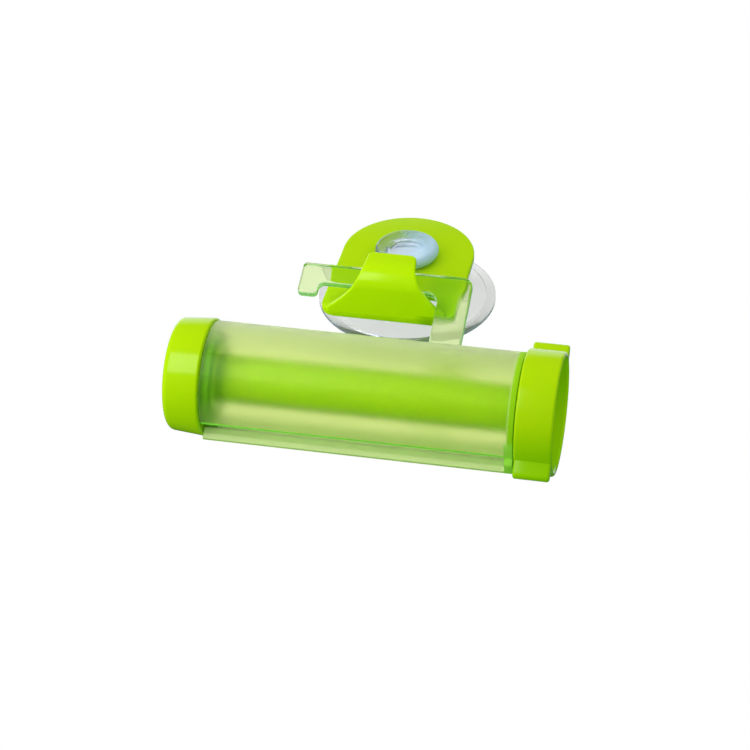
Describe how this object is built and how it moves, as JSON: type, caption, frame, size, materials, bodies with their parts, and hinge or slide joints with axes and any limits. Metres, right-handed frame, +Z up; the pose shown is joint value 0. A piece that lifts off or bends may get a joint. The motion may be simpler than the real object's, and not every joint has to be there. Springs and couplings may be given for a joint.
{
  "type": "toothpaste tube squeezer",
  "caption": "Roll-up toothpaste tube squeezer: slotted frosted sleeve with a winged key and end cap, hung by its flat arm on a hook plate held by a clear suction cup.",
  "frame": {"origin": "middle of the suction cup's rim, on the wall", "axes": "+Y into the wall, so the product hangs on the -Y side; +Z up; +X along the sleeve, towards the winged key"},
  "size_m": [0.0937, 0.0313, 0.107],
  "materials": {
    "clear_soft_plastic": "clear, glossy, slightly blue-grey soft plastic",
    "frosted_green_plastic": "translucent, lightly frosted yellow-green",
    "solid_green_plastic": "opaque, satin-glossy moulded yellow-green"
  },
  "bodies": {
    "cup": {"suction_cup": "clear_soft_plastic"},
    "hook": {"hook_plate": "solid_green_plastic"},
    "squeezer": {"sleeve": "frosted_green_plastic"},
    "rotor": {"winding_core": "solid_green_plastic", "turn_key": "solid_green_plastic", "end_cap": "solid_green_plastic"}
  },
  "joints": [
    {"name": "plate_swivel", "type": "hinge", "parent": "cup", "child": "hook", "pos_m": [0, 0, 0], "axis": [0, 1, 0], "continuous": true},
    {"name": "arm_swing", "type": "hinge", "parent": "hook", "child": "squeezer", "pos_m": [0, -0.0164, -0.024], "axis": [-1, 0, 0], "range_deg": [-0.5, 45]},
    {"name": "core_spin", "type": "hinge", "parent": "squeezer", "child": "rotor", "pos_m": [0, -0.0165, -0.067], "axis": [1, 0, 0], "continuous": true}
  ]
}
